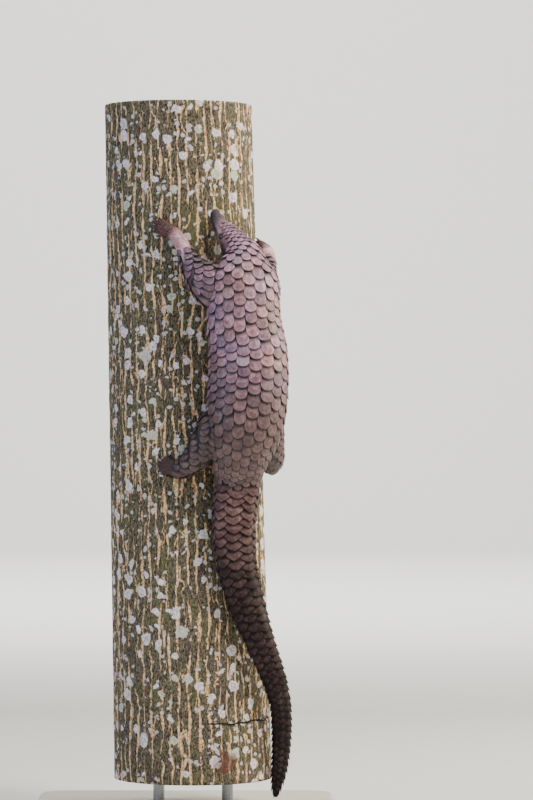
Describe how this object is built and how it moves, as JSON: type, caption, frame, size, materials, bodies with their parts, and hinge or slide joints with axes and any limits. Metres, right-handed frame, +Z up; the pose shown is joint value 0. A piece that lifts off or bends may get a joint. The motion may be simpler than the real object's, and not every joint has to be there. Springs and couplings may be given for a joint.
{
  "type": "tree pangolin on a cut trunk",
  "caption": "Life-size still tree pangolin with overlapping scales and a long hanging tail, clinging head up to a cut length of trunk on a flat stand.",
  "frame": {"origin": "on the floor under the middle of the stand's base", "axes": "+Z up along the trunk; the viewer of the picture looks along +Y, with +X to the right; the animal's back faces about 34 degrees to the right of that viewer"},
  "size_m": [0.42, 0.4, 1],
  "materials": {
    "scutes": "dry horny scales, mauve grey-brown with worn brownish tips",
    "tail_scutes": "dry horny scales, dark brown, nearly black at the tip",
    "bare_skin": "bare pinkish brown skin with sparse short hairs",
    "claw_horn": "dark horn, satin",
    "eye": "blue-black, wet",
    "bark": "fissured bark with orange-cream cracks, moss and pale lichen rings",
    "stand_paint": "plain satin grey-beige paint",
    "rod_steel": "brushed"
  },
  "bodies": {
    "root": {"stand_base": "stand_paint", "stand_rod_left": "rod_steel", "stand_rod_right": "rod_steel", "perch_trunk": "bark", "head": "scutes", "neck": "scutes", "torso_front": "scutes", "torso_rear": "scutes", "tail_base": "tail_scutes", "tail_upper": "tail_scutes", "tail_lower": "tail_scutes", "tail_tip": "tail_scutes", "eye_left": "eye", "eye_right": "eye", "arm_left_upper": "scutes", "arm_left_fore": "bare_skin", "arm_left_claw_1": "claw_horn", "arm_left_claw_2": "claw_horn", "arm_left_claw_3": "claw_horn", "arm_left_claw_4": "claw_horn", "arm_left_claw_5": "claw_horn", "arm_left_hand": "bare_skin", "arm_right_upper": "scutes", "arm_right_fore": "bare_skin", "arm_right_claw_1": "claw_horn", "arm_right_claw_2": "claw_horn", "arm_right_claw_3": "claw_horn", "arm_right_claw_4": "claw_horn", "arm_right_claw_5": "claw_horn", "arm_right_hand": "bare_skin", "leg_left_thigh": "scutes", "leg_left_shank": "scutes", "leg_left_claw_1": "claw_horn", "leg_left_claw_2": "claw_horn", "leg_left_claw_3": "claw_horn", "leg_left_claw_4": "claw_horn", "leg_left_claw_5": "claw_horn", "leg_left_foot": "bare_skin", "leg_right_thigh": "scutes", "leg_right_shank": "scutes", "leg_right_claw_1": "claw_horn", "leg_right_claw_2": "claw_horn", "leg_right_claw_3": "claw_horn", "leg_right_claw_4": "claw_horn", "leg_right_claw_5": "claw_horn", "leg_right_foot": "bare_skin"}
  },
  "joints": []
}
